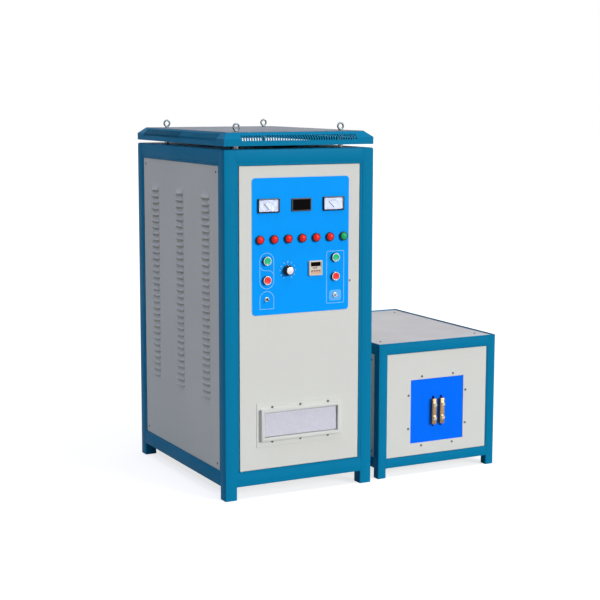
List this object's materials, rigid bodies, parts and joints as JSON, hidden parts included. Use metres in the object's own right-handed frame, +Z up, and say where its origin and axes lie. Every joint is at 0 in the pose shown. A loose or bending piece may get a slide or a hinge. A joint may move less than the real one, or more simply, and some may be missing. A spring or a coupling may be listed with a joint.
{
  "type": "induction heating machine",
  "caption": "Free-standing power cabinet with hinged control door, louvred sides and raised vented hood, beside a low output station with bolted brass terminals.",
  "frame": {"origin": "on the floor, under the middle of the box round both cabinets", "axes": "+Z up, +Y towards the back, +X to the right seen from the front; the control door faces -Y"},
  "size_m": [1.054, 0.7736, 1.2035],
  "materials": {
    "teal_paint": "smooth gloss enamel",
    "grey_paint": "light grey powder coat",
    "blue_overlay": "printed polyester film, satin",
    "blue_board": "glass-fibre laminate, satin",
    "zinc_plated": "zinc plated",
    "galvanised": "galvanised sheet",
    "nickel_ring": "satin nickel",
    "black_plastic": "moulded",
    "black_gloss": "moulded, glossy",
    "clear_window": "clear acrylic",
    "needle_black": "painted",
    "red_lens": "translucent red",
    "red_cap": "glossy red",
    "green_cap": "glossy green",
    "timer_cream": "moulded",
    "key_brown": "moulded",
    "filter_felt": "non-woven filter mat",
    "brass": "machined",
    "copper": "copper",
    "dark_steel": "varnished laminations",
    "capacitor_metal": "satin",
    "lever_cream": "moulded",
    "circuit_green": "solder mask"
  },
  "bodies": {
    "cabinets": {"main_posts": "teal_paint", "main_rails": "teal_paint", "frame_ledges": "teal_paint", "closing_sheets": "teal_paint", "left_panel": "grey_paint", "right_panel": "grey_paint", "rear_panels": "grey_paint", "panel_screws": "zinc_plated", "hood_shell": "teal_paint", "hood_top_plate": "grey_paint", "hood_spacers": "zinc_plated", "lifting_eyes": "zinc_plated", "fan_frame": "black_plastic", "hinge_pins": "zinc_plated", "mounting_plate": "galvanised", "breaker_case": "black_plastic", "cooling_plates": "copper", "power_modules": "black_plastic", "dc_capacitors": "capacitor_metal", "dc_choke": "dark_steel", "control_board": "circuit_green", "water_manifolds": "brass", "cable_glands": "black_plastic", "station_posts": "teal_paint", "station_rails": "teal_paint", "station_front_panel": "grey_paint", "station_side_panels": "grey_paint", "station_top_plate": "grey_paint", "insulating_board": "blue_board", "output_blocks": "brass", "output_bolts": "brass", "matching_transformer": "dark_steel", "resonant_capacitors": "capacitor_metal"},
    "door": {"front_door": "grey_paint", "control_overlay": "blue_overlay", "instrument_cases": "black_gloss", "instrument_windows": "clear_window", "lamp_bezels": "black_plastic", "lamp_lenses": "red_lens", "button_rings": "nickel_ring", "control_bodies": "nickel_ring", "timer_case": "timer_cream", "filter_frame": "grey_paint", "filter_mat": "filter_felt"},
    "fan": {"fan_rotor": "black_plastic"},
    "breaker_lever": {"breaker_lever": "lever_cream"},
    "needle_left": {"meter_needle_left": "needle_black"},
    "needle_right": {"meter_needle_right": "needle_black"},
    "button_start_left": {"green_button_left": "green_cap"},
    "button_stop_left": {"red_button_left": "red_cap"},
    "button_start_right": {"green_button_right": "green_cap"},
    "button_stop_right": {"red_button_right": "red_cap"},
    "knob": {"power_knob": "black_gloss"},
    "toggle_left": {"toggle_lever_left": "nickel_ring"},
    "toggle_right": {"toggle_lever_right": "nickel_ring"},
    "key_1": {"timer_key_1": "key_brown"},
    "key_2": {"timer_key_2": "key_brown"},
    "key_3": {"timer_key_3": "key_brown"},
    "key_4": {"timer_key_4": "key_brown"},
    "lock": {"door_lock": "zinc_plated"}
  },
  "joints": [
    {"name": "door_hinge", "type": "hinge", "parent": "cabinets", "child": "door", "pos_m": [-0.463, -0.36125, 0.5815], "axis": [0, 0, -1], "range_deg": [0, 110]},
    {"name": "lock_turn", "type": "hinge", "parent": "door", "child": "lock", "pos_m": [-0.0715, -0.36725, 0.6895], "axis": [0, -1, 0], "range_deg": [0, 90]},
    {"name": "needle_left_swing", "type": "hinge", "parent": "door", "child": "needle_left", "pos_m": [-0.3684, -0.36925, 0.9335], "axis": [0, 1, 0], "range_deg": [0, 90], "stiffness_Nm_per_rad": 0.0001},
    {"name": "needle_right_swing", "type": "hinge", "parent": "door", "child": "needle_right", "pos_m": [-0.1346, -0.36925, 0.9335], "axis": [0, 1, 0], "range_deg": [0, 90], "stiffness_Nm_per_rad": 0.0001},
    {"name": "press_start_left", "type": "slide", "parent": "door", "child": "button_start_left", "axis": [0, 1, 0], "range_m": [0, 0.003], "stiffness_N_per_m": 700, "springref_m": -0.002},
    {"name": "press_stop_left", "type": "slide", "parent": "door", "child": "button_stop_left", "axis": [0, 1, 0], "range_m": [0, 0.003], "stiffness_N_per_m": 700, "springref_m": -0.002},
    {"name": "press_start_right", "type": "slide", "parent": "door", "child": "button_start_right", "axis": [0, 1, 0], "range_m": [0, 0.003], "stiffness_N_per_m": 700, "springref_m": -0.002},
    {"name": "press_stop_right", "type": "slide", "parent": "door", "child": "button_stop_right", "axis": [0, 1, 0], "range_m": [0, 0.003], "stiffness_N_per_m": 700, "springref_m": -0.002},
    {"name": "knob_turn", "type": "hinge", "parent": "door", "child": "knob", "pos_m": [-0.29945, -0.37825, 0.7355], "axis": [0, 1, 0], "range_deg": [-150, 150]},
    {"name": "toggle_left_flip", "type": "hinge", "parent": "door", "child": "toggle_left", "pos_m": [-0.3755, -0.36925, 0.6465], "axis": [-1, 0, 0], "range_deg": [0, 25]},
    {"name": "toggle_right_flip", "type": "hinge", "parent": "door", "child": "toggle_right", "pos_m": [-0.12749, -0.36925, 0.6465], "axis": [-1, 0, 0], "range_deg": [0, 25]},
    {"name": "press_key_1", "type": "slide", "parent": "door", "child": "key_1", "axis": [0, 1, 0], "range_m": [0, 0.0012], "stiffness_N_per_m": 250, "springref_m": -0.001},
    {"name": "press_key_2", "type": "slide", "parent": "door", "child": "key_2", "axis": [0, 1, 0], "range_m": [0, 0.0012], "stiffness_N_per_m": 250, "springref_m": -0.001},
    {"name": "press_key_3", "type": "slide", "parent": "door", "child": "key_3", "axis": [0, 1, 0], "range_m": [0, 0.0012], "stiffness_N_per_m": 250, "springref_m": -0.001},
    {"name": "press_key_4", "type": "slide", "parent": "door", "child": "key_4", "axis": [0, 1, 0], "range_m": [0, 0.0012], "stiffness_N_per_m": 250, "springref_m": -0.001},
    {"name": "breaker_switch", "type": "hinge", "parent": "cabinets", "child": "breaker_lever", "pos_m": [-0.40213, -0.01825, 0.9], "axis": [-1, 0, 0], "range_deg": [0, 50]},
    {"name": "fan_spin", "type": "hinge", "parent": "cabinets", "child": "fan", "pos_m": [-0.255, -0.13025, 1.09], "axis": [0, 0, 1], "continuous": true}
  ]
}
